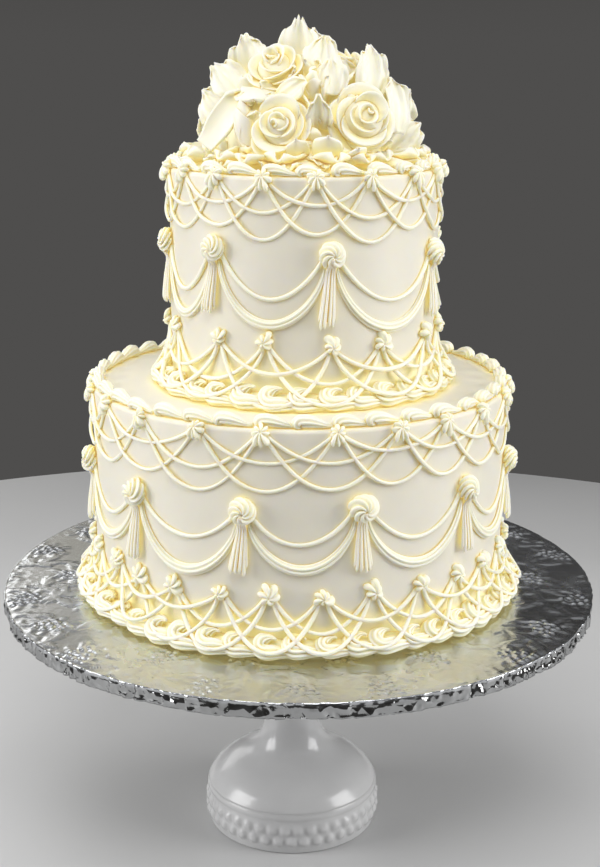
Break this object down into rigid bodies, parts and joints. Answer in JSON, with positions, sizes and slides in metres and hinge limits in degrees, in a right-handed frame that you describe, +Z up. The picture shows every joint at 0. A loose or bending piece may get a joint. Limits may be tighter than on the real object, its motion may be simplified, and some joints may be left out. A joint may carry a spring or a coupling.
{
  "type": "wedding cake on stand",
  "caption": "Tiered round buttercream wedding cake with piped swags, tassels, shell borders and a rose bouquet on top, on a foil-covered board and a white glass pedestal.",
  "frame": {"origin": "on the table under the centre of the round board, at the foot's underside", "axes": "+Z up through the tiers, -Y towards the side that the picture shows, +X to its right"},
  "size_m": [0.4064, 0.4064, 0.559],
  "materials": {
    "icing": "smooth ivory buttercream, satin, yellower in its creases",
    "petal_icing": "thin piped buttercream petals, satin, yellow in their depths",
    "mound_icing": "yellow buttercream mound in shade under the flowers",
    "foil": "bright silver foil embossed with leaf scrolls and small flowers, crumpled round the edge",
    "milk_glass": "opaque white pressed glass, glossy, with beads round the foot"
  },
  "bodies": {
    "root": {"cake_stand": "milk_glass", "cake_board": "foil", "lower_tier": "icing", "upper_tier": "icing", "flower_mound": "mound_icing", "rose_front_right": "petal_icing", "rose_front_left": "petal_icing", "rose_top": "petal_icing", "rose_upper_right": "petal_icing", "rose_left_side": "petal_icing", "rose_right_side": "petal_icing", "rose_back_left": "petal_icing", "rose_back_right": "petal_icing", "rose_back_top": "petal_icing", "bud_left": "petal_icing", "bud_top": "petal_icing", "petal_long_left": "petal_icing", "petal_round_front": "petal_icing", "petal_round_right": "petal_icing", "petal_between": "petal_icing", "leaf_crown": "petal_icing", "leaf_crown_back": "petal_icing", "leaf_crown_right": "petal_icing", "leaf_over_rose": "petal_icing", "leaf_right_high": "petal_icing", "leaf_right_middle": "petal_icing", "leaf_right_back": "petal_icing", "leaf_right_low": "petal_icing", "leaf_left_high": "petal_icing", "leaf_left_middle": "petal_icing", "leaf_left_side": "petal_icing", "leaf_left_low": "petal_icing", "leaf_back_high": "petal_icing", "leaf_back_left": "petal_icing", "leaf_back_right": "petal_icing", "leaf_back_middle": "petal_icing", "leaf_back_corner": "petal_icing", "ring_leaf_1": "petal_icing", "ring_leaf_2": "petal_icing", "ring_leaf_3": "petal_icing", "ring_leaf_4": "petal_icing", "ring_leaf_5": "petal_icing", "ring_leaf_6": "petal_icing", "ring_leaf_7": "petal_icing", "ring_leaf_8": "petal_icing", "ring_leaf_9": "petal_icing", "ring_leaf_10": "petal_icing", "ring_leaf_11": "petal_icing", "ring_leaf_12": "petal_icing"}
  },
  "joints": []
}
